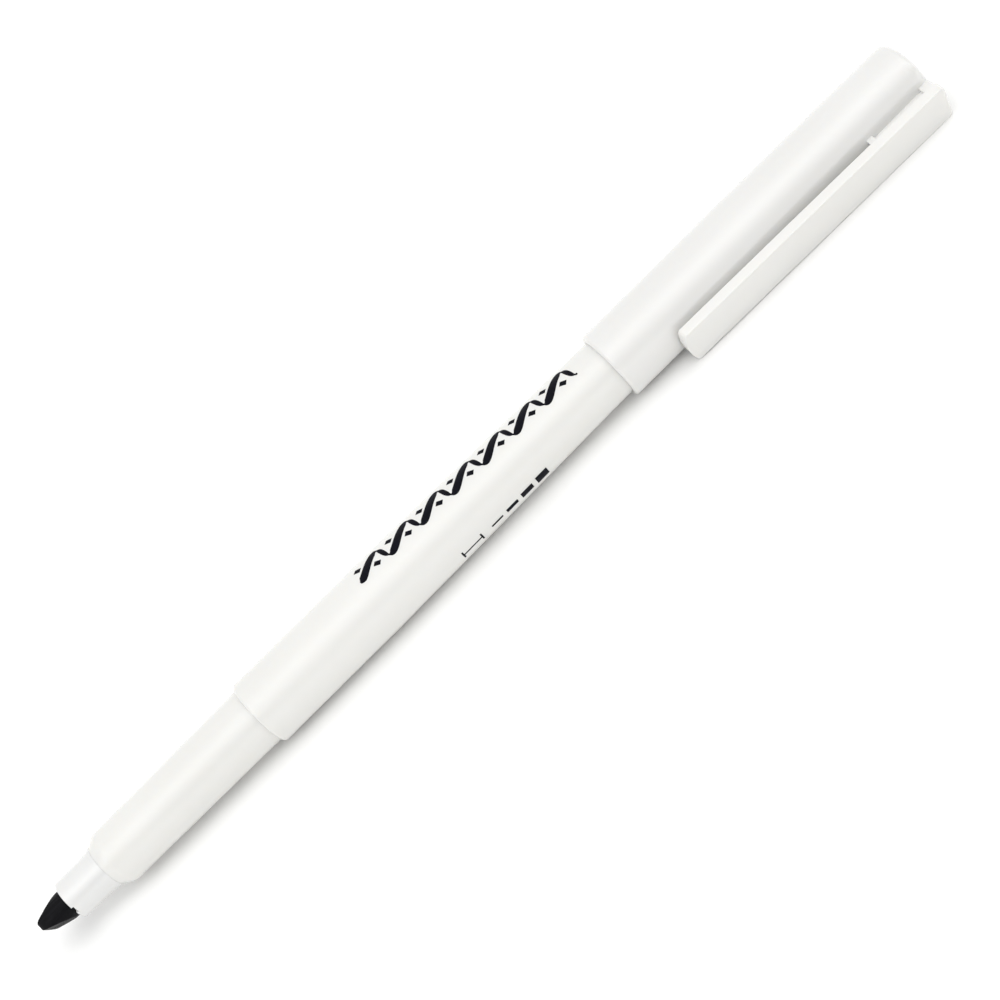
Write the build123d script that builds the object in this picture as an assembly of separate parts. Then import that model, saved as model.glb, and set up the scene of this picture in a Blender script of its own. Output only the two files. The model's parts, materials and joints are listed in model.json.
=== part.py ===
from build123d import *

import math
import os

# Calligraphy marker with its cap posted on the tail.
# Every length is in millimetres.  A STATION is a distance along the pen's axis.  Station 0 is where the
# nib's toe would be if it weren't rounded, so the finished nib starts at about 0.2.
# Each sub-part is made with the pen's axis on X and the clip side towards -Y, then rolled and placed.

# ---- Stations along the pen ----
COLLAR_FRONT = 5.15
COLLAR_FLARE = 10.0
COLLAR_BACK = 11.5
CONE_BACK = 12.9
GRIP_STEP = 38.9
TAPER_START = 60.0
BARREL_END = 123.8
TAIL_END = 125.0
CAP_MOUTH = 101.9
CAP_END = 155.8

# ---- Outside of the pen body ----
COLLAR_FRONT_R = 2.92
COLLAR_FLARE_R = 2.97
COLLAR_BACK_R = 3.24
CONE_BACK_R = 4.06
GRIP_STEP_R = 4.265
BARREL_R = 4.9
TAIL_R = 3.9
BARREL_EDGE_ROUND = 0.5
COLLAR_RIM_ROUND = 0.18
COLLAR_FLARE_ROUND = 4.0
CONE_ROUND = 2.0

# ---- Inside of the pen body ----
SPIGOT_R = 3.95
SPIGOT_LENGTH = 8.0
GRIP_BORE_R = 3.3
GRIP_BORE_START = 20.5
SHANK_R = 2.6
SHANK_END = 19.0
BARREL_BORE_FRONT_R = 3.5
BARREL_BORE_BACK_R = 3.25
PLUG_SPIGOT_LENGTH = 6.5
PLUG_WALL = 0.8
PLUG_EDGE_ROUND = 0.5

# ---- Nib ----
NIB_R = 2.07
NIB_EDGE_LENGTH = 3.6
NIB_EDGE_CLIP_SIDE = 0.62
NIB_EDGE_FAR_SIDE = 0.34
NIB_BEVEL_END = 4.4
NIB_SIDE_FACET_END = 2.7
NIB_SLANT = 0.85
NIB_TOE_ROUND = 0.85
NIB_HEEL_ROUND = 0.9
NIB_BEVEL_ROUND = 1.2
NIB_ROLL = 35.0
NIB_BLADE_TWIST = 7.0
NIB_ROD_END = 20.0
NIB_TAIL_R = 1.6
NIB_TAIL_END = 29.0
NIB_POINT_END = 31.0
NIB_POINT_R = 0.5
VENT_ROLL = -14.4
VENT_WIDTH = 1.0
VENT_NOTCH_DEPTH = 0.35
VENT_CHANNEL_DEPTH = 0.3

# ---- Ink reservoir ----
RESERVOIR_START = 21.0
RESERVOIR_END = 116.0
RESERVOIR_R = 3.05
FILM_R = 3.17
FILM_INSET = 1.0

# ---- Cap ----
CAP_R = 5.1
CAP_END_R = 4.83
CAP_TAPER_START = 125.0
CAP_BORE_MOUTH_R = 4.3
CAP_BORE_MID_R = 4.1
CAP_BORE_MID = 129.0
CAP_BORE_END_R = 4.05
CAP_END_WALL = 1.6
CAP_MOUTH_ROUND = 0.55
CAP_MOUTH_INNER_ROUND = 0.2
CAP_END_ROUND = 1.2

# ---- Liner inside the cap ----
LINER_START = 131.7
LINER_R = 4.04
LINER_BORE_R = 3.35
LINER_LIP_R = 3.0
LINER_LIP_START = 132.7
LINER_LIP_LENGTH = 1.0
LINER_FLOOR = 1.0

# ---- Clip ----
CLIP_ROLL = 16.55
CLIP_FREE_END = 110.25
CLIP_WIDTH = 6.15
CLIP_THICKNESS = 1.4
CLIP_OUTER_FREE_R = 6.94
CLIP_OUTER_ROOT_R = 7.56
CLIP_END_ROUND = 0.6
CLIP_END_CORNER_ROUND = 1.2
CLIP_FREE_ARC_R = 9.0
CLIP_FREE_CORNER_ROUND = 0.4
CROSS_WALL_START = 144.6
CROSS_WALL_THICKNESS = 1.0
END_WALL_THICKNESS = 1.85
WALL_WIDTH = 4.0
WEB_WIDTH = 3.0
ROOT_SINK_R = 3.4
FLEX_GAP = 0.1

os.makedirs("parts", exist_ok=True)


def radius_on_taper(station, start, start_r, end, end_r):
    """Radius at a station of the straight taper between two stations."""
    return start_r + (end_r - start_r) * (station - start) / (end - start)


def turned(*points):
    """A solid turned about the pen's axis from its half outline of (station, radius) points."""
    outline = make_face(Polyline(*points, close=True))
    return revolve(outline, Axis.X)


def circles_at(solid, station, radius):
    """The round edges of a turned solid at a station and radius."""
    return [
        edge
        for edge in solid.edges().filter_by(GeomType.CIRCLE)
        if abs(edge.center().X - station) < 0.01 and abs(edge.radius - radius) < 0.01
    ]


def slab(x_low, x_high, r_low, r_high, width):
    """A box on the clip side, between two stations and two distances from the axis."""
    size = (x_high - x_low, r_high - r_low, width)
    centre = ((x_low + x_high) / 2, -(r_low + r_high) / 2, 0)
    return Pos(*centre) * Box(*size)


def rolled(solid, degrees):
    """Turn a solid about the pen's axis; a positive roll lowers the clip side."""
    return solid.rotate(Axis.X, degrees)


def make_barrel():
    spigot_end = GRIP_STEP + SPIGOT_LENGTH
    body = turned(
        (GRIP_STEP, SPIGOT_R),
        (GRIP_STEP, BARREL_R),
        (TAPER_START, BARREL_R),
        (BARREL_END, radius_on_taper(BARREL_END, TAPER_START, BARREL_R, TAIL_END, TAIL_R)),
        (BARREL_END, BARREL_BORE_BACK_R),
        (spigot_end, BARREL_BORE_FRONT_R),
        (spigot_end, SPIGOT_R),
    )
    return fillet(circles_at(body, GRIP_STEP, BARREL_R), BARREL_EDGE_ROUND)


def make_grip_section():
    spigot_end = GRIP_STEP + SPIGOT_LENGTH
    body = turned(
        (COLLAR_BACK, SHANK_R),
        (COLLAR_BACK, COLLAR_BACK_R),
        (CONE_BACK, CONE_BACK_R),
        (GRIP_STEP, GRIP_STEP_R),
        (GRIP_STEP, SPIGOT_R),
        (spigot_end, SPIGOT_R),
        (spigot_end, GRIP_BORE_R),
        (GRIP_BORE_START, GRIP_BORE_R),
        (SHANK_END, SHANK_R),
    )
    return fillet(circles_at(body, CONE_BACK, CONE_BACK_R), CONE_ROUND)


def make_nib_holder():
    body = turned(
        (COLLAR_FRONT, NIB_R),
        (COLLAR_FRONT, COLLAR_FRONT_R),
        (COLLAR_FLARE, COLLAR_FLARE_R),
        (COLLAR_BACK, COLLAR_BACK_R),
        (COLLAR_BACK, SHANK_R),
        (SHANK_END, SHANK_R),
        (SHANK_END, NIB_R),
    )
    body = fillet(circles_at(body, COLLAR_FLARE, COLLAR_FLARE_R), COLLAR_FLARE_ROUND)
    body = fillet(circles_at(body, COLLAR_FRONT, COLLAR_FRONT_R), COLLAR_RIM_ROUND)
    channel = slab(COLLAR_FRONT, SHANK_END, 0, NIB_R + VENT_CHANNEL_DEPTH, VENT_WIDTH)
    notch = slab(COLLAR_FRONT, COLLAR_FRONT + VENT_NOTCH_DEPTH, 0, COLLAR_BACK_R, VENT_WIDTH)
    return body - rolled(channel + notch, VENT_ROLL)


def make_nib():
    """Fibre rod with two broad bevels, two narrow side facets and a slanted edge with a rounded toe and heel."""
    rod = turned(
        (0, 0),
        (0, NIB_R),
        (NIB_ROD_END, NIB_R),
        (NIB_ROD_END, NIB_TAIL_R),
        (NIB_TAIL_END, NIB_TAIL_R),
        (NIB_POINT_END, NIB_POINT_R),
        (NIB_POINT_END, 0),
    )
    bevels = make_face(
        Polyline(
            (0, NIB_EDGE_FAR_SIDE),
            (NIB_BEVEL_END, NIB_R),
            (NIB_POINT_END, NIB_R),
            (NIB_POINT_END, -NIB_R),
            (NIB_BEVEL_END, -NIB_R),
            (0, -NIB_EDGE_CLIP_SIDE),
            close=True,
        )
    )
    clip_side_corner = bevels.vertices().sort_by(Axis.X)[:2].sort_by(Axis.Y)[0]
    bevels = fillet(clip_side_corner, NIB_BEVEL_ROUND)
    wedge = extrude(bevels, amount=NIB_R, both=True)
    half_length = NIB_EDGE_LENGTH / 2
    face_outline = make_face(
        Polyline(
            (0, half_length),
            (NIB_SIDE_FACET_END, NIB_R),
            (NIB_POINT_END, NIB_R),
            (NIB_POINT_END, -NIB_R),
            (NIB_SIDE_FACET_END, -NIB_R),
            (NIB_SLANT, -half_length),
            close=True,
        )
    )
    heel = face_outline.vertices().sort_by(Axis.X)[1]
    face_outline = fillet(heel, NIB_HEEL_ROUND)
    toe = face_outline.vertices().sort_by(Axis.X)[0]
    face_outline = fillet(toe, NIB_TOE_ROUND)
    blade = rolled(extrude(face_outline, amount=NIB_R, both=True), 90 + NIB_BLADE_TWIST)
    return rolled(rod & wedge & blade, NIB_ROLL)


def make_ink_reservoir():
    return turned(
        (RESERVOIR_START, NIB_TAIL_R),
        (RESERVOIR_START, RESERVOIR_R),
        (RESERVOIR_END, RESERVOIR_R),
        (RESERVOIR_END, 0),
        (NIB_POINT_END, 0),
        (NIB_POINT_END, NIB_POINT_R),
        (NIB_TAIL_END, NIB_TAIL_R),
    )


def make_reservoir_film():
    start = RESERVOIR_START + FILM_INSET
    end = RESERVOIR_END - FILM_INSET
    return turned((start, RESERVOIR_R), (start, FILM_R), (end, FILM_R), (end, RESERVOIR_R))


def make_tail_plug():
    """Cup-shaped plug: its spigot fits the barrel's bore and its head carries on the barrel's taper."""
    spigot_start = BARREL_END - PLUG_SPIGOT_LENGTH
    body = turned(
        (spigot_start, BARREL_BORE_BACK_R - PLUG_WALL),
        (spigot_start, BARREL_BORE_BACK_R),
        (BARREL_END, BARREL_BORE_BACK_R),
        (BARREL_END, radius_on_taper(BARREL_END, TAPER_START, BARREL_R, TAIL_END, TAIL_R)),
        (TAIL_END, TAIL_R),
        (TAIL_END, 0),
        (BARREL_END, 0),
        (BARREL_END, BARREL_BORE_BACK_R - PLUG_WALL),
    )
    return fillet(circles_at(body, TAIL_END, TAIL_R), PLUG_EDGE_ROUND)


def clip_outer_r(station):
    """Distance of the clip's outer face from the pen's axis."""
    return radius_on_taper(station, CLIP_FREE_END, CLIP_OUTER_FREE_R, CAP_END, CLIP_OUTER_ROOT_R)


def clip_side(x_low, x_high):
    """The clip's side outline, between two stations."""
    return make_face(
        Polyline(
            (x_low, -clip_outer_r(x_low)),
            (x_high, -clip_outer_r(x_high)),
            (x_high, CLIP_THICKNESS - clip_outer_r(x_high)),
            (x_low, CLIP_THICKNESS - clip_outer_r(x_low)),
            close=True,
        )
    )


def clip_plate(x_low, x_high):
    """A length of the flat clip, between two stations."""
    return extrude(clip_side(x_low, x_high), amount=CLIP_WIDTH / 2, both=True)


def make_cap_shell():
    """Closed cap with the clip's root: an end wall, a cross wall and a narrow web under the clip's plate."""
    outside = turned(
        (CAP_MOUTH, 0),
        (CAP_MOUTH, CAP_R),
        (CAP_TAPER_START, CAP_R),
        (CAP_END, CAP_END_R),
        (CAP_END, 0),
    )
    outside = fillet(circles_at(outside, CAP_MOUTH, CAP_R), CAP_MOUTH_ROUND)
    outside = fillet(circles_at(outside, CAP_END, CAP_END_R), CAP_END_ROUND)

    under_plate = clip_outer_r(CROSS_WALL_START) - CLIP_THICKNESS / 2
    cross_wall_end = CROSS_WALL_START + CROSS_WALL_THICKNESS
    end_wall_start = CAP_END - END_WALL_THICKNESS
    cross_wall = slab(CROSS_WALL_START, cross_wall_end, ROOT_SINK_R, under_plate, WALL_WIDTH)
    end_wall = slab(end_wall_start, CAP_END, ROOT_SINK_R, under_plate, WALL_WIDTH)
    web = slab(cross_wall_end, end_wall_start, ROOT_SINK_R, under_plate, WEB_WIDTH)
    plate = clip_plate(CROSS_WALL_START, CAP_END)
    end_corners = plate.edges().filter_by(Axis.Y, tolerance=5).group_by(Axis.X)[-1]
    plate = fillet(end_corners, CLIP_END_CORNER_ROUND)
    side = clip_side(CROSS_WALL_START, CAP_END)
    outer_end = side.vertices().sort_by(Axis.Y)[0]
    plate = plate & extrude(fillet(outer_end, CLIP_END_ROUND), amount=CLIP_WIDTH, both=True)
    root = plate + cross_wall + end_wall + web

    bore = turned(
        (CAP_MOUTH, 0),
        (CAP_MOUTH, CAP_BORE_MOUTH_R),
        (CAP_BORE_MID, CAP_BORE_MID_R),
        (CAP_END - CAP_END_WALL, CAP_BORE_END_R),
        (CAP_END - CAP_END_WALL, 0),
    )
    shell = outside + rolled(root, CLIP_ROLL) - bore
    return fillet(circles_at(shell, CAP_MOUTH, CAP_BORE_MOUTH_R), CAP_MOUTH_INNER_ROUND)


def make_clip_arm():
    """The clip from its bending line to its free end, which is a shallow arc."""
    arc_centre = CLIP_FREE_END + CLIP_FREE_ARC_R
    end_disc = Rot(90, 0, 0) * Cylinder(CLIP_FREE_ARC_R, 4 * CLIP_OUTER_ROOT_R)
    rest = slab(arc_centre, CROSS_WALL_START, 0, 2 * CLIP_OUTER_ROOT_R, CLIP_WIDTH)
    arm = clip_plate(CLIP_FREE_END, CROSS_WALL_START - FLEX_GAP)
    arm = arm & (Pos(arc_centre, 0, 0) * end_disc + rest)
    corners = arm.edges().filter_by(Axis.Y, tolerance=5).group_by(Axis.X)[0]
    arm = fillet(corners, CLIP_FREE_CORNER_ROUND)
    return rolled(arm, CLIP_ROLL)


def make_cap_liner():
    """Inner cap with a sealing lip that closes on the nib holder when the pen is capped."""
    floor_start = CAP_END - CAP_END_WALL - LINER_FLOOR
    lip_end = LINER_LIP_START + LINER_LIP_LENGTH
    return turned(
        (LINER_START, LINER_BORE_R),
        (LINER_START, LINER_R),
        (CAP_END - CAP_END_WALL, LINER_R),
        (CAP_END - CAP_END_WALL, 0),
        (floor_start, 0),
        (floor_start, LINER_BORE_R),
        (lip_end + LINER_BORE_R - LINER_LIP_R, LINER_BORE_R),
        (lip_end, LINER_LIP_R),
        (LINER_LIP_START, LINER_LIP_R),
    )


SUB_PARTS = {
    "barrel": make_barrel(),
    "grip_section": make_grip_section(),
    "nib_holder": make_nib_holder(),
    "nib": make_nib(),
    "ink_reservoir": make_ink_reservoir(),
    "reservoir_film": make_reservoir_film(),
    "tail_plug": make_tail_plug(),
    "cap_shell": make_cap_shell(),
    "cap_liner": make_cap_liner(),
    "clip_arm": make_clip_arm(),
}

# The pen lies at rest on Z = 0, on the cap's widest ring and the lower edge of the clip.
# The origin is under the middle of the pen's box.
pen_box = Compound(list(SUB_PARTS.values())).bounding_box()
to_frame = Location((-pen_box.center().X, -pen_box.center().Y, -pen_box.min.Z))

for node, solid in SUB_PARTS.items():
    export_step(solid.moved(to_frame), f"parts/{node}.step")

print("axis at y", to_frame.position.Y, "z", to_frame.position.Z, "station 0 at x", to_frame.position.X)
print("box", pen_box.size)
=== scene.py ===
import itertools
import json
import math

import bmesh
import bpy
from mathutils import Matrix, Vector, noise


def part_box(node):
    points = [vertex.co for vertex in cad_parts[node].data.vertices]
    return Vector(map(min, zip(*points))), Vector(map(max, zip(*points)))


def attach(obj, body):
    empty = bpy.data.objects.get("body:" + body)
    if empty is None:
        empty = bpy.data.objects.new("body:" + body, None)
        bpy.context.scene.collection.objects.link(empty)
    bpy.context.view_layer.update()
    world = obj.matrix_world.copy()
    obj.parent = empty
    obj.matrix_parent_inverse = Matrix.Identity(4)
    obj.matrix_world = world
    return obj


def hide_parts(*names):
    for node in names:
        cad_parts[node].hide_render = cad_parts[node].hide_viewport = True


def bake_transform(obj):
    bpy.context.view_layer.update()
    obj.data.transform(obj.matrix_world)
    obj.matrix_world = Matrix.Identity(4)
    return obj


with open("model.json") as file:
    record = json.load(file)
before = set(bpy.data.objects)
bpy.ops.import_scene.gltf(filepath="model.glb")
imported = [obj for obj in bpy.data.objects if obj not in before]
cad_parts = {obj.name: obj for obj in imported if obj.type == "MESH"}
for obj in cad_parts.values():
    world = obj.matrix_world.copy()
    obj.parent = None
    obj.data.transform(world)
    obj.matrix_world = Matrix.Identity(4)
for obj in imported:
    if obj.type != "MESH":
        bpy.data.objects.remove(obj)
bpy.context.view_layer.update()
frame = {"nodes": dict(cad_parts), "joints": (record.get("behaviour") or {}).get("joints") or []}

# ---------------------------------------------------------------------------
# Frame: stations run along the pen in millimetres, from where the nib's toe would be if it weren't
# rounded.  A roll is an angle about the pen's axis: 0 is the -Y side and 90 is straight down.
# ---------------------------------------------------------------------------
MM = 0.001
CAP_END = 155.8
barrel_low, barrel_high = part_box("barrel")
EDGE_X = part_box("cap_shell")[1].x - CAP_END * MM
AXIS_Y = (barrel_low.y + barrel_high.y) / 2
AXIS_Z = (barrel_low.z + barrel_high.z) / 2
flex_joint = next(j for j in frame["joints"] if j["name"] == "clip_flex")
CLIP_ROLL = math.degrees(math.atan2(-flex_joint["axis"][1], flex_joint["axis"][2]))


def station_of(x):
    """Station, in millimetres, of a place along the row's X axis."""
    return (x - EDGE_X) / MM


def place(station, radial, roll, across=0.0):
    """Row-frame point of a station, a distance from the axis along a roll, and a distance across it."""
    angle = math.radians(roll)
    y = -radial * math.cos(angle) + across * math.sin(angle)
    z = -radial * math.sin(angle) - across * math.cos(angle)
    return Vector((EDGE_X + station * MM, AXIS_Y + y * MM, AXIS_Z + z * MM))


# Stations and radii, in millimetres.
COLLAR_BACK = station_of(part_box("grip_section")[0].x)
GRIP_STEP = station_of(barrel_low.x)
BARREL_END = station_of(barrel_high.x)
CAP_MOUTH = station_of(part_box("cap_shell")[0].x)
CLIP_FREE_END = station_of(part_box("clip_arm")[0].x)
CROSS_WALL = station_of(flex_joint["pos_m"][0])
BARREL_R = (barrel_high.z - barrel_low.z) / 2 / MM
CAP_R = (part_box("cap_shell")[1].z - AXIS_Z) / MM
COLLAR_BACK_R = (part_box("nib_holder")[1].z - AXIS_Z) / MM
GRIP_STEP_R = (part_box("grip_section")[1].z - AXIS_Z) / MM
CONE_BACK = 12.9
CONE_BACK_R = 4.06
CONE_BLEND_R = 1.6
SPIGOT_R = 3.95
SPIGOT_LENGTH = 8.0
SHANK_R = 2.6
SHANK_END = 19.0
GRIP_BORE_START = 20.5
TAPER_START = 60.0
TAPER_BLEND_R = 60.0
TAIL_END = 125.0
TAIL_R = 3.9
BORE_R = 3.3
CAP_END_R = 4.83
CAP_TAPER_START = 125.0
CAP_TAPER_BLEND_R = 90.0
CAP_EDGE_R = 1.25
CAP_BORE_MOUTH_R = 4.3
CAP_BORE_MID = 129.0
CAP_BORE_MID_R = 4.1
CAP_BORE_END_R = 4.05
CAP_END_WALL = 1.6
GATE_R = 0.9
GATE_DEPTH = 0.12
GATE_FLOOR_R = 0.75
NIB_R = 2.07
CLIP_WIDTH = 6.15
CLIP_THICKNESS = 1.4
CLIP_OUTER_FREE_R = 6.94
CLIP_OUTER_ROOT_R = 7.56

LATHE_SIDES = 160
SMOOTH_ANGLE = math.radians(32)


def barrel_r(station):
    """Outside radius of the barrel."""
    if station <= TAPER_START:
        return BARREL_R
    return BARREL_R + (TAIL_R - BARREL_R) * (station - TAPER_START) / (TAIL_END - TAPER_START)


def clip_outer_r(station):
    """Distance of the clip's outer face from the pen's axis."""
    share = (station - CLIP_FREE_END) / (CAP_END - CLIP_FREE_END)
    return CLIP_OUTER_FREE_R + (CLIP_OUTER_ROOT_R - CLIP_OUTER_FREE_R) * share


# ---------------------------------------------------------------------------
# Mesh helpers
# ---------------------------------------------------------------------------
def new_piece(name, bm, material, smooth=True):
    """Turns a bmesh into a piece with one material and sharp edges kept."""
    bmesh.ops.recalc_face_normals(bm, faces=bm.faces)
    mesh = bpy.data.meshes.new(name)
    bm.to_mesh(mesh)
    bm.free()
    for polygon in mesh.polygons:
        polygon.use_smooth = smooth
    mesh.set_sharp_from_angle(angle=SMOOTH_ANGLE)
    mesh.materials.append(material)
    obj = bpy.data.objects.new(name, mesh)
    bpy.context.scene.collection.objects.link(obj)
    return obj


def apply_modifiers(obj):
    """Makes the piece's mesh what its modifiers show."""
    graph = bpy.context.evaluated_depsgraph_get()
    final = bpy.data.meshes.new_from_object(obj.evaluated_get(graph))
    obj.modifiers.clear()
    obj.data = final


def rounded(corners, steps=7):
    """A closed outline from (station, radius, rounding) corners, each rounded with an arc."""
    points = []
    count = len(corners)
    for i, (x, y, rounding) in enumerate(corners):
        here = Vector((x, y))
        if rounding <= 0:
            points.append(here)
            continue
        to_back = (Vector(corners[i - 1][:2]) - here).normalized()
        to_next = (Vector(corners[(i + 1) % count][:2]) - here).normalized()
        half = to_back.angle(to_next) / 2
        run = rounding / math.tan(half)
        centre = here + (to_back + to_next).normalized() * (rounding / math.sin(half))
        first = here + to_back * run - centre
        last = here + to_next * run - centre
        turn = first.angle_signed(last)
        for k in range(steps + 1):
            angle = -turn * k / steps
            spun = Vector(
                (
                    first.x * math.cos(angle) - first.y * math.sin(angle),
                    first.x * math.sin(angle) + first.y * math.cos(angle),
                )
            )
            points.append(centre + spun)
    return points


def divided(points, longest):
    """The closed outline with its long straight runs cut into shorter ones."""
    result = []
    for i, here in enumerate(points):
        after = points[(i + 1) % len(points)]
        parts = max(1, math.ceil((after - here).length / longest))
        for k in range(parts):
            result.append(here.lerp(after, k / parts))
    return result


def lathe(name, corners, material, longest=2.5):
    """A closed solid turned about the pen's axis from an outline of (station, radius, rounding) corners."""
    outline = divided(rounded(corners), longest)
    rolls = [360 * k / LATHE_SIDES for k in range(LATHE_SIDES)]
    bm = bmesh.new()
    rows = []
    for point in outline:
        if point.y < 1e-4:
            rows.append([bm.verts.new(place(point.x, 0, 0))])
        else:
            rows.append([bm.verts.new(place(point.x, point.y, roll)) for roll in rolls])
    for i, row in enumerate(rows):
        after = rows[(i + 1) % len(rows)]
        for k in range(LATHE_SIDES):
            j = (k + 1) % LATHE_SIDES
            if len(row) == 1 and len(after) == 1:
                break
            if len(row) == 1:
                bm.faces.new((row[0], after[k], after[j]))
            elif len(after) == 1:
                bm.faces.new((row[k], after[0], row[j]))
            else:
                bm.faces.new((row[k], after[k], after[j], row[j]))
    return new_piece(name, bm, material)


# ---------------------------------------------------------------------------
# Materials
# ---------------------------------------------------------------------------
def start_material(name):
    """A new node material, its node tree and its shader."""
    material = bpy.data.materials.new(name)
    material.use_nodes = True
    return material, material.node_tree, material.node_tree.nodes["Principled BSDF"]


def noise_value(tree, scale, stretch=(1, 1, 1), detail=3.0, roughness=0.5, distortion=0.0):
    """Noise in row-frame metres: scale is in features per metre, stretch multiplies it along X, Y and Z."""
    coordinates = tree.nodes.new("ShaderNodeTexCoord")
    mapping = tree.nodes.new("ShaderNodeMapping")
    mapping.inputs["Scale"].default_value = stretch
    texture = tree.nodes.new("ShaderNodeTexNoise")
    texture.inputs["Scale"].default_value = scale
    texture.inputs["Detail"].default_value = detail
    texture.inputs["Roughness"].default_value = roughness
    texture.inputs["Distortion"].default_value = distortion
    tree.links.new(coordinates.outputs["Object"], mapping.inputs["Vector"])
    tree.links.new(mapping.outputs["Vector"], texture.inputs["Vector"])
    return texture.outputs["Fac"]


def remap(tree, value, low, high, to_low, to_high):
    """A value's range stretched to another range, and held inside it."""
    node = tree.nodes.new("ShaderNodeMapRange")
    node.inputs["From Min"].default_value = low
    node.inputs["From Max"].default_value = high
    node.inputs["To Min"].default_value = to_low
    node.inputs["To Max"].default_value = to_high
    tree.links.new(value, node.inputs["Value"])
    return node.outputs["Result"]


def mix_colors(tree, factor, first, second):
    """The first colour where the factor is 0 and the second where it is 1."""
    node = tree.nodes.new("ShaderNodeMix")
    node.data_type = "RGBA"
    node.inputs["A"].default_value = (*first, 1)
    node.inputs["B"].default_value = (*second, 1)
    tree.links.new(factor, node.inputs["Factor"])
    return node.outputs["Result"]


def bump_chain(tree, shader, layers):
    """Bumps the shader with (height, strength, distance) layers, one on top of the other."""
    normal = None
    for height, strength, distance in layers:
        bump = tree.nodes.new("ShaderNodeBump")
        bump.inputs["Strength"].default_value = strength
        bump.inputs["Distance"].default_value = distance
        tree.links.new(height, bump.inputs["Height"])
        if normal is not None:
            tree.links.new(normal, bump.inputs["Normal"])
        normal = bump.outputs["Normal"]
    tree.links.new(normal, shader.inputs["Normal"])


def moulded_plastic(name, color, shade, low_rough, high_rough, glow=0.12, ior=1.49):
    """Injection-moulded plastic: faint tone drift, orange peel, hairlines along the pen and smudged gloss."""
    material, tree, shader = start_material(name)
    drift = remap(tree, noise_value(tree, 55, detail=2), 0.35, 0.65, 0, 1)
    tree.links.new(mix_colors(tree, drift, color, shade), shader.inputs["Base Color"])
    smudge = noise_value(tree, 160, (0.5, 1, 1), detail=5, roughness=0.62)
    rough = remap(tree, smudge, 0.38, 0.68, low_rough, high_rough)
    tree.links.new(rough, shader.inputs["Roughness"])
    peel = noise_value(tree, 700, detail=2)
    hairlines = noise_value(tree, 5200, (0.03, 1, 1), detail=2, roughness=0.7)
    bump_chain(tree, shader, [(peel, 0.12, 0.00004), (hairlines, 0.06, 0.00001)])
    shader.inputs["IOR"].default_value = ior
    shader.inputs["Specular IOR Level"].default_value = 0.9
    shader.inputs["Subsurface Weight"].default_value = glow
    shader.inputs["Subsurface Radius"].default_value = (1.0, 0.8, 0.55)
    shader.inputs["Subsurface Scale"].default_value = 0.0012
    return material


def inked_fibre(name, color, shade, rough, gloss):
    """Ink-soaked fibres that run along the pen."""
    material, tree, shader = start_material(name)
    strands = noise_value(tree, 9000, (0.02, 1, 1), detail=4, roughness=0.65, distortion=0.2)
    clumps = noise_value(tree, 1800, (0.2, 1, 1), detail=3)
    tone = remap(tree, strands, 0.35, 0.7, 0, 1)
    tree.links.new(mix_colors(tree, tone, color, shade), shader.inputs["Base Color"])
    tree.links.new(remap(tree, clumps, 0.3, 0.7, rough - 0.1, rough + 0.12), shader.inputs["Roughness"])
    bump_chain(tree, shader, [(strands, 0.55, 0.00003), (clumps, 0.35, 0.00004)])
    shader.inputs["Specular IOR Level"].default_value = gloss
    return material


def printed_ink(name):
    """Pad-printed black ink: slightly uneven cover with a dull gloss."""
    material, tree, shader = start_material(name)
    cover = remap(tree, noise_value(tree, 2600, detail=4, roughness=0.6), 0.35, 0.75, 0, 1)
    tone = mix_colors(tree, cover, (0.001, 0.001, 0.003), (0.004, 0.004, 0.01))
    tree.links.new(tone, shader.inputs["Base Color"])
    tree.links.new(remap(tree, noise_value(tree, 900), 0.3, 0.7, 0.42, 0.56), shader.inputs["Roughness"])
    shader.inputs["Specular IOR Level"].default_value = 0.08
    bump_chain(tree, shader, [(noise_value(tree, 4000, detail=3), 0.15, 0.00001)])
    return material


def clear_film(name):
    """Thin plastic wrap, drawn tight, with fine ripples round the cartridge."""
    material, tree, shader = start_material(name)
    ripples = noise_value(tree, 900, (1, 0.2, 0.2), detail=3)
    tone = mix_colors(tree, ripples, (0.75, 0.76, 0.78), (0.86, 0.87, 0.9))
    tree.links.new(tone, shader.inputs["Base Color"])
    tree.links.new(remap(tree, ripples, 0.3, 0.7, 0.12, 0.24), shader.inputs["Roughness"])
    bump_chain(tree, shader, [(ripples, 0.4, 0.00005)])
    return material


CAP_GLOSS = (0.12, 0.17)
CAP_IOR = 1.56
COLLAR_IOR = 1.65
white_body = moulded_plastic("white_body", (0.734, 0.73, 0.707), (0.721, 0.716, 0.69), 0.15, 0.2)
white_cap = moulded_plastic(
    "white_cap", (0.722, 0.718, 0.704), (0.71, 0.705, 0.688), *CAP_GLOSS, ior=CAP_IOR
)
# Painted light: the clip takes the cap's plastic made about 5% lighter, so that its outer face reads brighter
# than the light alone makes it.
clip_painted_lighter = moulded_plastic(
    "clip_painted_lighter", (0.757, 0.753, 0.733), (0.745, 0.74, 0.717), *CAP_GLOSS, ior=CAP_IOR
)
white_collar = moulded_plastic(
    "white_collar", (0.71, 0.709, 0.701), (0.7, 0.699, 0.69), 0.05, 0.09, glow=0.08, ior=COLLAR_IOR
)
natural_plug = moulded_plastic("natural_plug", (0.76, 0.755, 0.72), (0.74, 0.735, 0.7), 0.36, 0.5)
natural_liner = moulded_plastic("natural_liner", (0.74, 0.74, 0.71), (0.72, 0.72, 0.69), 0.36, 0.5, 0.25)
nib_fibre = inked_fibre("nib_fibre", (0.0015, 0.0015, 0.002), (0.006, 0.006, 0.008), 0.5, 0.09)
wick_fibre = inked_fibre("wick_fibre", (0.01, 0.01, 0.014), (0.05, 0.05, 0.06), 0.8, 0.3)
wrap_film = clear_film("wrap_film")
print_ink = printed_ink("print_ink")


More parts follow.
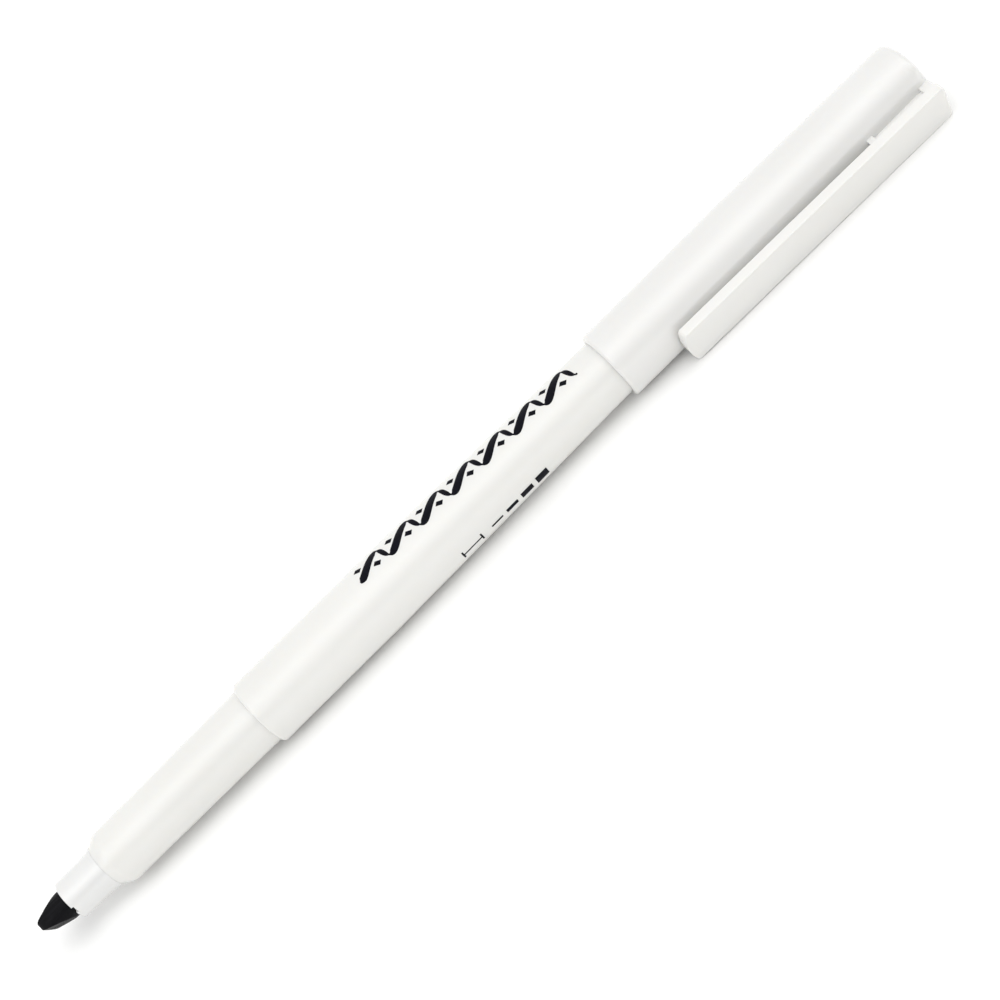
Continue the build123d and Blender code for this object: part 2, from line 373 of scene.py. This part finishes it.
# ---------------------------------------------------------------------------
# Pen body
# ---------------------------------------------------------------------------
def make_barrel():
    """Tube with a step at its front and a taper to the tail."""
    return lathe(
        "barrel_tube",
        [
            (GRIP_STEP, SPIGOT_R, 0),
            (GRIP_STEP, BARREL_R, 0.5),
            (TAPER_START, BARREL_R, TAPER_BLEND_R),
            (BARREL_END, barrel_r(BARREL_END), 0.06),
            (BARREL_END, BORE_R, 0),
            (GRIP_STEP + SPIGOT_LENGTH, BORE_R, 0),
            (GRIP_STEP + SPIGOT_LENGTH, SPIGOT_R, 0),
        ],
        white_body,
    )


def make_grip():
    """Narrower front tube with a short cone, whose spigot stands in the barrel."""
    return lathe(
        "grip_sleeve",
        [
            (COLLAR_BACK, SHANK_R, 0),
            (COLLAR_BACK, COLLAR_BACK_R - 0.02, 0.05),
            (CONE_BACK, CONE_BACK_R, CONE_BLEND_R),
            (GRIP_STEP, GRIP_STEP_R, 0),
            (GRIP_STEP + SPIGOT_LENGTH, SPIGOT_R, 0),
            (GRIP_STEP + SPIGOT_LENGTH, BORE_R, 0),
            (GRIP_BORE_START, BORE_R, 0),
            (SHANK_END, SHANK_R, 0),
        ],
        white_body,
        longest=1.6,
    )


barrel = make_barrel()
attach(barrel, "pen")
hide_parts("barrel")

grip = make_grip()
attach(grip, "pen")
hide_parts("grip_section")


# ---------------------------------------------------------------------------
# Nib: a fibre rod with two bevels, side facets and a slanted edge with rounded corners
# ---------------------------------------------------------------------------
NIB_ROLL = 35.0
NIB_BLADE_TWIST = 7.0
NIB_EDGE = 3.6
NIB_EDGE_CLIP_SIDE = 0.62
NIB_EDGE_FAR_SIDE = 0.34
NIB_BEVEL_END = 4.4
NIB_SIDE_END = 2.7
NIB_SLANT = 0.85
NIB_TOE_ROUND = 0.85
NIB_HEEL_ROUND = 0.9
NIB_BEVEL_ROUND = 1.2
NIB_BLANK_START = -1.0
NIB_FRONT = 6.0
NIB_RELIEF_END = NIB_FRONT - 0.3
NIB_ROD_END = 20.0
NIB_TAIL_R = 1.6
NIB_TAIL_END = 29.0
NIB_POINT_END = 31.0
NIB_POINT_R = 0.5
NIB_VOXEL = 0.055
ROUNDING_STEPS = 7

# Relief of the nib's fibres and pits: height in millimetres and features per millimetre.
FIBRE_RELIEF = 0.012
FIBRES_ALONG = 0.9
FIBRES_ACROSS = 5.0
PIT_RELIEF = 0.014
PITS = 3.0


def nib_plane(station, radial, across, direction, roll):
    """A flat face's row-frame point and outward normal, from (station, radial, across) values at a roll."""
    normal = place(direction.x, direction.y, roll, direction.z) - place(0, 0, roll)
    return place(station, radial, roll, across), normal


def rounding_cuts(corner, first, second, rounding, roll):
    """Small flat faces that round the corner between two flat faces, in (station, radial, across) values."""
    half_angle = (math.pi - first.angle(second)) / 2
    centre = corner - (first + second).normalized() * (rounding / math.sin(half_angle))
    cuts = []
    for k in range(1, ROUNDING_STEPS):
        normal = first.lerp(second, k / ROUNDING_STEPS).normalized()
        point = centre + normal * rounding
        cuts.append(nib_plane(*point, normal, roll))
    return cuts


def nib_cuts():
    """The flat faces that shape the nib, with small ones that round its clip-side bevel, toe and heel."""
    cuts = []
    for side, half_thick in ((1, NIB_EDGE_CLIP_SIDE), (-1, NIB_EDGE_FAR_SIDE)):
        bevel = Vector((half_thick - NIB_R, side * NIB_BEVEL_END, 0)).normalized()
        cuts.append(nib_plane(0, side * half_thick, 0, bevel, NIB_ROLL))
        if side == 1:
            corner = Vector((0, half_thick, 0))
            cuts += rounding_cuts(corner, Vector((-1, 0, 0)), bevel, NIB_BEVEL_ROUND, NIB_ROLL)
    blade_roll = NIB_ROLL + NIB_BLADE_TWIST
    half_edge = NIB_EDGE / 2
    front = Vector((-NIB_EDGE, 0, NIB_SLANT)).normalized()
    cuts.append(nib_plane(0, 0, -half_edge, front, blade_roll))
    for side, rounding, start in ((-1, NIB_TOE_ROUND, 0.0), (1, NIB_HEEL_ROUND, NIB_SLANT)):
        facet = Vector((half_edge - NIB_R, 0, side * NIB_SIDE_END)).normalized()
        corner = Vector((start, 0, side * half_edge))
        cuts.append(nib_plane(*corner, facet, blade_roll))
        cuts += rounding_cuts(corner, front, facet, rounding, blade_roll)
    return cuts


def rod_rings(bm, rings, sides=96):
    """Closed rod through (station, radius) rings."""
    rows = []
    for station, radius in rings:
        rows.append([bm.verts.new(place(station, radius, 360 * k / sides)) for k in range(sides)])
    for row, after in zip(rows, rows[1:]):
        for k in range(sides):
            j = (k + 1) % sides
            bm.faces.new((row[k], after[k], after[j], row[j]))
    bm.faces.new(rows[0])
    bm.faces.new(rows[-1][::-1])


def make_nib():
    """The shaped front is remeshed finely so that its edges are soft and its fibres can be pressed in."""
    bm = bmesh.new()
    rod_rings(bm, [(NIB_BLANK_START, NIB_R), (NIB_FRONT, NIB_R)], sides=180)
    for point, normal in nib_cuts():
        geometry = bm.verts[:] + bm.edges[:] + bm.faces[:]
        cut = bmesh.ops.bisect_plane(bm, geom=geometry, plane_co=point, plane_no=normal, clear_outer=True)
        rim = [edge for edge in cut["geom_cut"] if isinstance(edge, bmesh.types.BMEdge)]
        bmesh.ops.contextual_create(bm, geom=rim)
    front = new_piece("nib_tip", bm, nib_fibre)
    remesh = front.modifiers.new("remesh", "REMESH")
    remesh.mode = "VOXEL"
    remesh.voxel_size = NIB_VOXEL * MM
    soften = front.modifiers.new("soften", "SMOOTH")
    soften.factor = 0.5
    soften.iterations = 3
    apply_modifiers(front)

    bm = bmesh.new()
    bm.from_mesh(front.data)
    for vert in bm.verts:
        station = station_of(vert.co.x)
        if station < NIB_RELIEF_END:
            across = (vert.co - Vector((0, AXIS_Y, AXIS_Z))) / MM
            strands = Vector((station * FIBRES_ALONG, across.y * FIBRES_ACROSS, across.z * FIBRES_ACROSS))
            fibre = noise.noise(strands)
            pits = noise.noise(Vector((station * PITS, across.y * PITS, across.z * PITS)))
            vert.co += vert.normal * (FIBRE_RELIEF * fibre + PIT_RELIEF * pits) * MM
    tail = [(NIB_ROD_END, NIB_TAIL_R), (NIB_TAIL_END, NIB_TAIL_R), (NIB_POINT_END, NIB_POINT_R)]
    rod_rings(bm, [(NIB_FRONT, NIB_R), (NIB_ROD_END, NIB_R)] + tail)
    bm.to_mesh(front.data)
    bm.free()
    for polygon in front.data.polygons:
        polygon.use_smooth = True
    front.data.set_sharp_from_angle(angle=SMOOTH_ANGLE)
    return front


nib = make_nib()
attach(nib, "pen")
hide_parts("nib")


# ---------------------------------------------------------------------------
# Cap and clip
# ---------------------------------------------------------------------------
def make_cap():
    """Closed tube with a small gate mark in the middle of its flat end."""
    inner_end = CAP_END - CAP_END_WALL
    return lathe(
        "cap_tube",
        [
            (CAP_MOUTH, CAP_BORE_MOUTH_R, 0.2),
            (CAP_MOUTH, CAP_R, 0.55),
            (CAP_TAPER_START, CAP_R, CAP_TAPER_BLEND_R),
            (CAP_END, CAP_END_R, CAP_EDGE_R),
            (CAP_END, GATE_R, 0.08),
            (CAP_END - GATE_DEPTH, GATE_FLOOR_R, 0.05),
            (CAP_END - GATE_DEPTH, 0, 0),
            (inner_end, 0, 0),
            (inner_end, CAP_BORE_END_R, 0.3),
            (CAP_BORE_MID, CAP_BORE_MID_R, 0),
        ],
        white_cap,
        longest=2.0,
    )


def spaced(low, high, step):
    """Evenly spread values from low up to, but not including, high."""
    count = max(1, round((high - low) / step))
    return [low + (high - low) * k / count for k in range(count)]


def corner_steps(rounding, steps):
    """Distances from the end at which a rounded corner turns by even steps."""
    return [rounding * (1 - math.cos(k * math.pi / 2 / steps)) for k in range(steps + 1)]


def ease_corner(distance, rounding):
    """How far a rounded corner stands back from the straight edge, at a distance from the end."""
    if distance >= rounding:
        return 0.0
    return rounding - math.sqrt(rounding**2 - (rounding - distance) ** 2)


# The clip's free end is an arc of FREE_ARC_R, whose setback fades out over FREE_FADE.
FREE_ARC_R = 9.0
FREE_CORNER = 0.4
FREE_FADE = 5.0
ROOT_ROUND = 0.6
ROOT_CORNER = 1.2
CROSS_WALL_THICKNESS = 1.0
CROSS_WALL_END = CROSS_WALL + CROSS_WALL_THICKNESS
END_WALL_THICKNESS = 1.85
END_WALL = CAP_END - END_WALL_THICKNESS
WALL_HALF = 2.0
WEB_HALF = 1.5
ROOT_SINK = 4.45
CLIP_EDGE_ROUND = 0.28
CLIP_EDGE_ANGLE = math.radians(40)
CLIP_SHARP_ANGLE = math.radians(60)

# Steps of the clip's grid, along the pen and then across the clip.
ARM_STEP = 0.8
CROSS_WALL_STEP = 0.65
END_WALL_STEP = 0.4
SIDE_STEP = 0.36
WEB_STEP = 0.6

# A cell of the clip's grid at (i, j, level) has six sides: the neighbour's offset and the side's corners.
CELL_SIDES = (
    ((-1, 0, 0), ((0, 0, 0), (0, 1, 0), (0, 1, 1), (0, 0, 1))),
    ((1, 0, 0), ((1, 0, 0), (1, 1, 0), (1, 1, 1), (1, 0, 1))),
    ((0, -1, 0), ((0, 0, 0), (1, 0, 0), (1, 0, 1), (0, 0, 1))),
    ((0, 1, 0), ((0, 1, 0), (1, 1, 0), (1, 1, 1), (0, 1, 1))),
    ((0, 0, -1), ((0, 0, 0), (1, 0, 0), (1, 1, 0), (0, 1, 0))),
    ((0, 0, 1), ((0, 0, 1), (1, 0, 1), (1, 1, 1), (0, 1, 1))),
)


def make_clip():
    """One mesh for the flexing arm and its root: a grid of cells, filled where there is plastic."""
    near_free = [CLIP_FREE_END + distance for distance in corner_steps(FREE_CORNER, 6)[:-1]]
    near_root = [CAP_END - distance for distance in reversed(corner_steps(ROOT_CORNER, 10))]
    stations = near_free + spaced(CLIP_FREE_END + FREE_CORNER, CROSS_WALL, ARM_STEP)
    stations += spaced(CROSS_WALL, CROSS_WALL_END, CROSS_WALL_STEP)
    stations += spaced(CROSS_WALL_END, END_WALL, ARM_STEP)
    stations += spaced(END_WALL, CAP_END - ROOT_CORNER, END_WALL_STEP) + near_root
    half = CLIP_WIDTH / 2
    side = [WEB_HALF, WALL_HALF] + spaced(WALL_HALF, half, SIDE_STEP)[1:] + [half]
    across = [-value for value in reversed(side)] + spaced(-WEB_HALF, WEB_HALF, WEB_STEP)[1:] + side
    levels = 3

    def filled(i, j, level):
        middle = (stations[i] + stations[i + 1]) / 2
        if level == 1:
            return True
        offset = abs((across[j] + across[j + 1]) / 2)
        wall = CROSS_WALL < middle < CROSS_WALL_END or middle > END_WALL
        return middle > CROSS_WALL and offset < (WALL_HALF if wall else WEB_HALF)

    bm = bmesh.new()
    verts = {}

    def vert(i, j, level):
        if (i, j, level) not in verts:
            station = stations[i]
            aside = across[j]
            aside *= (half - ease_corner(station - CLIP_FREE_END, FREE_CORNER)) / half
            aside *= (half - ease_corner(CAP_END - station, ROOT_CORNER)) / half
            top = clip_outer_r(station) - ease_corner(CAP_END - station, ROOT_ROUND)
            under = clip_outer_r(station) - CLIP_THICKNESS
            sink = math.sqrt(ROOT_SINK**2 - aside**2)
            radial = (sink, under, top)[level]
            fade = max(0.0, 1 - (station - CLIP_FREE_END) / FREE_FADE)
            setback = (FREE_ARC_R - math.sqrt(FREE_ARC_R**2 - aside**2)) * fade
            verts[i, j, level] = bm.verts.new(place(station + setback, radial, CLIP_ROLL, aside))
        return verts[i, j, level]

    def is_in(i, j, level):
        inside = 0 <= i < len(stations) - 1 and 0 <= j < len(across) - 1 and 0 <= level < levels - 1
        return inside and filled(i, j, level)

    cells = itertools.product(range(len(stations) - 1), range(len(across) - 1), range(levels - 1))
    for i, j, level in cells:
        if not is_in(i, j, level):
            continue
        for (di, dj, dlevel), corners in CELL_SIDES:
            if not is_in(i + di, j + dj, level + dlevel):
                bm.faces.new([vert(i + ci, j + cj, level + cl) for ci, cj, cl in corners])
    clip = new_piece("clip_moulding", bm, clip_painted_lighter)
    bevel = clip.modifiers.new("edge", "BEVEL")
    bevel.width = CLIP_EDGE_ROUND * MM
    bevel.segments = 3
    bevel.limit_method = "ANGLE"
    bevel.angle_limit = CLIP_EDGE_ANGLE
    apply_modifiers(clip)
    clip.data.set_sharp_from_angle(angle=CLIP_SHARP_ANGLE)
    return clip


cap = make_cap()
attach(cap, "cap")
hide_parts("cap_shell")

clip = make_clip()
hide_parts("clip_arm")
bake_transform(clip)

# ---------------------------------------------------------------------------
# CAD nodes that keep their own shape and take a material
# ---------------------------------------------------------------------------
CARRIED = {
    "nib_holder": white_collar,
    "ink_reservoir": wick_fibre,
    "reservoir_film": wrap_film,
    "tail_plug": natural_plug,
    "cap_liner": natural_liner,
}
for node, material in CARRIED.items():
    mesh = frame["nodes"][node].data
    mesh.materials.clear()
    mesh.materials.append(material)
    for polygon in mesh.polygons:
        polygon.use_smooth = True
    mesh.set_sharp_from_angle(angle=SMOOTH_ANGLE)


# ---------------------------------------------------------------------------
# Printing on the barrel: a plain pen-stroke border and a stroke-width gauge, with no letters
# ---------------------------------------------------------------------------
PRINT_START = 60.8
PRINT_LENGTH = 38.0
PRINT_ROLL = -87.0
WAVES = 7
WAVE_HEIGHT = 1.2
WAVE_SLANT = 0.45
PATH_STEPS = 36
STROKE_BROAD = 1.2
STROKE_HAIR = 0.2
STROKE_ANGLE = math.radians(40)
STROKE_CONTRAST = 1.3
STROKE_END_SHARE = 0.35
STROKE_END_STEPS = 3
LOZENGE_SIZE = 0.62
LOZENGE_ARC = 0.75
LOZENGE_SHIFT = 0.1
LOZENGE_ASPECT = 0.8
LOZENGE_LEAN = 0.35
LOZENGE_POINT_HALF = 0.02
GAUGE_START = 71.8
GAUGE_ROLL = 18.6
GAUGE_LINE = 0.26
GAUGE_END_HALF = 0.72
GAUGE_GAP = 1.6
BARS = 4
BAR_PITCH = 2.7
BAR_LENGTH = 2.0
BAR_HALF_STEP = 0.18
BAR_MESH_STEP = 0.5
INK_PROUD = 0.012
INK_SUNK = 0.03


def on_barrel(station, arc, roll, lift):
    """Point on the barrel at an arc length round it from a roll."""
    radius = barrel_r(station)
    return place(station, radius + lift, roll + math.degrees(arc / radius))


def ink_strip(bm, left, right, roll):
    """A closed thin shell of ink between two edges, each a list of (station, arc)."""
    parts = 4
    rows = []
    for left_edge, right_edge in zip(left, right):
        top = []
        under = []
        for k in range(parts + 1):
            station = left_edge[0] + (right_edge[0] - left_edge[0]) * k / parts
            arc = left_edge[1] + (right_edge[1] - left_edge[1]) * k / parts
            top.append(bm.verts.new(on_barrel(station, arc, roll, INK_PROUD)))
            under.append(bm.verts.new(on_barrel(station, arc, roll, -INK_SUNK)))
        rows.append(top + under[::-1])
    for row, after in zip(rows, rows[1:]):
        for k in range(len(row)):
            j = (k + 1) % len(row)
            bm.faces.new((row[k], after[k], after[j], row[j]))
    half = len(rows[0]) // 2
    for row in (rows[0], rows[-1]):
        for k in range(half - 1):
            bm.faces.new((row[k], row[k + 1], row[-k - 2], row[-k - 1]))


def pen_stroke(bm, path, roll):
    """Inks a path the way a broad-edged pen does: wide across the pen's angle and thin along it."""
    left, right = [], []
    for i, here in enumerate(path):
        before = path[max(0, i - 1)]
        after = path[min(len(path) - 1, i + 1)]
        direction = (after - before).normalized()
        angle = math.atan2(direction.y, direction.x)
        breadth = abs(math.sin(angle - STROKE_ANGLE)) ** STROKE_CONTRAST
        width = STROKE_HAIR + (STROKE_BROAD - STROKE_HAIR) * breadth
        steps_to_end = min(i, len(path) - 1 - i)
        width *= min(1.0, STROKE_END_SHARE + (1 - STROKE_END_SHARE) * steps_to_end / STROKE_END_STEPS)
        normal = Vector((-direction.y, direction.x)) * width / 2
        left.append(tuple(here + normal))
        right.append(tuple(here - normal))
    ink_strip(bm, left, right, roll)


def lozenge(bm, station, arc, roll):
    """A small diamond, the dot that a broad-edged pen makes."""
    size = LOZENGE_SIZE
    steps = 4
    left, right = [], []
    for k in range(steps * 2 + 1):
        along = -size + size * k / steps
        half = max(LOZENGE_POINT_HALF, (size - abs(along)) * LOZENGE_ASPECT)
        left.append((station + along + LOZENGE_LEAN * half, arc + half))
        right.append((station + along - LOZENGE_LEAN * half, arc - half))
    ink_strip(bm, left, right, roll)


def make_border():
    """A wave drawn with a broad-edged pen, with lozenges in its bends."""
    pitch = PRINT_LENGTH / WAVES
    bm = bmesh.new()
    path = []
    for k in range(WAVES * PATH_STEPS + 1):
        waves = k / PATH_STEPS
        arc = WAVE_HEIGHT * math.cos(2 * math.pi * waves)
        path.append(Vector((PRINT_START + pitch * waves - WAVE_SLANT * arc, arc)))
    pen_stroke(bm, path, PRINT_ROLL)
    for k in range(WAVES):
        lozenge(bm, PRINT_START + pitch * k + LOZENGE_SHIFT, -LOZENGE_ARC, PRINT_ROLL)
        lozenge(bm, PRINT_START + pitch * (k + 0.5), LOZENGE_ARC, PRINT_ROLL)
    return new_piece("printed_border", bm, print_ink)


def make_gauge():
    """Two end marks one nib width apart, and bars of growing weight beside them."""
    bm = bmesh.new()

    def bar(low, high, half):
        count = max(1, round((high - low) / BAR_MESH_STEP))
        stations = [low + (high - low) * k / count for k in range(count + 1)]
        left = [(station, half) for station in stations]
        right = [(station, -half) for station in stations]
        ink_strip(bm, left, right, GAUGE_ROLL)

    gauge_end = GAUGE_START + NIB_EDGE
    bar(GAUGE_START, GAUGE_START + GAUGE_LINE, GAUGE_END_HALF)
    bar(GAUGE_START + GAUGE_LINE, gauge_end - GAUGE_LINE, GAUGE_LINE / 2)
    bar(gauge_end - GAUGE_LINE, gauge_end, GAUGE_END_HALF)
    for k in range(BARS):
        start = gauge_end + GAUGE_GAP + BAR_PITCH * k
        bar(start, start + BAR_LENGTH, BAR_HALF_STEP * (k + 1))
    return new_piece("printed_gauge", bm, print_ink)


for printed in (make_border(), make_gauge()):
    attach(printed, "pen")

# ---------------------------------------------------------------------------
# Stage: floor, light and camera
# ---------------------------------------------------------------------------
FLOOR_SIZE = 1.6

# Brightness of the room at angles about the pen: 0 is level in front, 90 overhead and 180 level behind.
ROOM_LEVELS = (
    (0, 1.2),
    (16, 0.6),
    (28, 0.6),
    (40, 1.08),
    (52, 1.55),
    (65, 2.0),
    (81, 1.67),
    (102, 1.09),
    (147, 0.88),
    (180, 1.15),
)


def make_floor():
    """The white surface that the pen lies on."""
    bm = bmesh.new()
    bmesh.ops.create_grid(bm, x_segments=8, y_segments=8, size=FLOOR_SIZE / 2)
    material, tree, shader = start_material("pale_paper")
    grain = noise_value(tree, 900, detail=4)
    tone = mix_colors(tree, grain, (0.93, 0.93, 0.92), (0.95, 0.95, 0.945))
    tree.links.new(tone, shader.inputs["Base Color"])
    shader.inputs["Roughness"].default_value = 0.9
    shader.inputs["Specular IOR Level"].default_value = 0.1
    floor = new_piece("floor", bm, material, smooth=False)


def make_light():
    """A white room whose brightness changes with the angle about the pen's axis."""
    world = bpy.data.worlds.new("studio")
    world.use_nodes = True
    bpy.context.scene.world = world
    tree = world.node_tree
    direction = tree.nodes.new("ShaderNodeTexCoord")
    parts = tree.nodes.new("ShaderNodeSeparateXYZ")
    tree.links.new(direction.outputs["Generated"], parts.inputs["Vector"])
    forward = tree.nodes.new("ShaderNodeMath")
    forward.operation = "MULTIPLY"
    forward.inputs[1].default_value = -1
    tree.links.new(parts.outputs["Y"], forward.inputs[0])
    angle = tree.nodes.new("ShaderNodeMath")
    angle.operation = "ARCTAN2"
    tree.links.new(parts.outputs["Z"], angle.inputs[0])
    tree.links.new(forward.outputs["Value"], angle.inputs[1])
    ramp = tree.nodes.new("ShaderNodeValToRGB")
    stops = ramp.color_ramp.elements
    for k, (degrees, level) in enumerate(ROOM_LEVELS):
        stop = stops[k] if k < 2 else stops.new(1)
        stop.position = degrees / 180
        stop.color = (level, level, level, 1)
    tree.links.new(remap(tree, angle.outputs["Value"], 0, math.pi, 0, 1), ramp.inputs["Fac"])
    background = tree.nodes["Background"]
    tree.links.new(ramp.outputs["Color"], background.inputs["Color"])
    background.inputs["Strength"].default_value = 1


VIEW_ELEVATION = 40.0
VIEW_TURN = 44.76
VIEW_DISTANCE = 271.25
VIEW_STATION = 80.08
VIEW_DROP = 2.26
VIEW_LENS = 76.4


def make_camera():
    """Looks down at the pen's clip side, rolled so that the pen lies along the picture's diagonal."""
    elevation = math.radians(VIEW_ELEVATION)
    turn = math.radians(VIEW_TURN)
    back = Vector((0, -math.cos(elevation), math.sin(elevation)))
    level_up = Vector((0, math.sin(elevation), math.cos(elevation)))
    along = Vector((1, 0, 0))
    right = along * math.cos(turn) - level_up * math.sin(turn)
    up = along * math.sin(turn) + level_up * math.cos(turn)
    target = place(VIEW_STATION, 0, 0) - level_up * VIEW_DROP * MM
    data = bpy.data.cameras.new("camera")
    data.lens = VIEW_LENS
    data.sensor_width = 36
    data.clip_start = 0.01
    data.clip_end = 10
    camera = bpy.data.objects.new("camera", data)
    camera.matrix_world = Matrix.Translation(target + back * VIEW_DISTANCE * MM) @ Matrix(
        (
            (right.x, up.x, back.x, 0),
            (right.y, up.y, back.y, 0),
            (right.z, up.z, back.z, 0),
            (0, 0, 0, 1),
        )
    )
    bpy.context.scene.collection.objects.link(camera)
    bpy.context.scene.camera = camera


make_floor()
make_light()
make_camera()
bpy.context.scene.view_settings.view_transform = "Standard"

bpy.context.view_layer.update()
